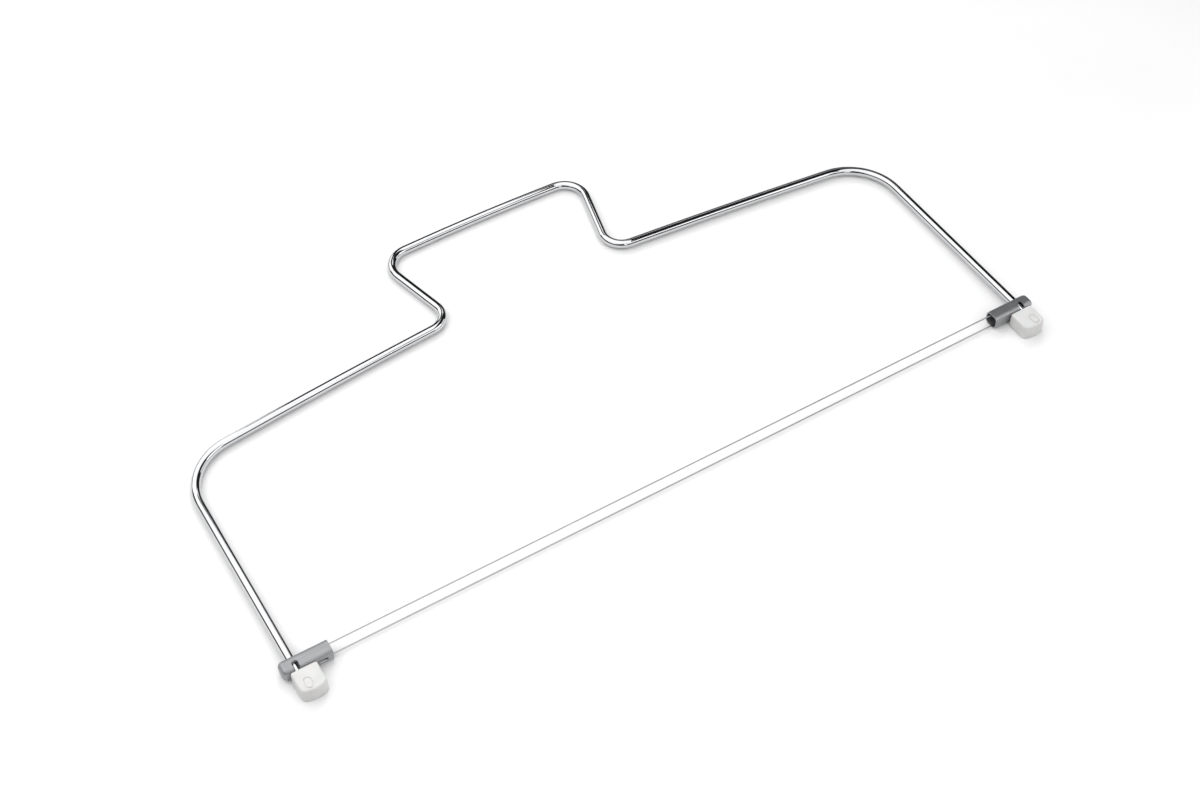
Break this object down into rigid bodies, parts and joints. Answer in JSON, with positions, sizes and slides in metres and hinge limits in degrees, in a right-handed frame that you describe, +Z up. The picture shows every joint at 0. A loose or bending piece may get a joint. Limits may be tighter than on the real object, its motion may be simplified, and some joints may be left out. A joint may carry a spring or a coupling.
{
  "type": "wire cake leveler",
  "caption": "Flat bent-rod cake leveler with a flared handle, white feet on its two legs, and a taut doubled cutting wire between tube sliders that move along the legs.",
  "frame": {"origin": "on the surface that the leveler lies on, under the middle of its length and depth", "axes": "+X along the cutting wire, +Y from the feet towards the handle, +Z up from the surface"},
  "size_m": [0.3222, 0.17, 0.0064],
  "materials": {
    "chromed_rod": "polished",
    "chromed_tube": "polished",
    "steel_wire": "drawn wire",
    "white_plastic": "satin"
  },
  "bodies": {
    "frame": {"left_leg": "chromed_rod", "right_leg": "chromed_rod", "left_shoulder": "chromed_rod", "right_shoulder": "chromed_rod", "handle": "chromed_rod", "left_foot": "white_plastic", "right_foot": "white_plastic"},
    "cutter": {"left_slider": "chromed_tube", "right_slider": "chromed_tube", "cutting_wire": "steel_wire"}
  },
  "joints": [
    {"name": "cutter_slide", "type": "slide", "parent": "frame", "child": "cutter", "axis": [0, 1, -0.0083], "range_m": [0, 0.075]}
  ]
}
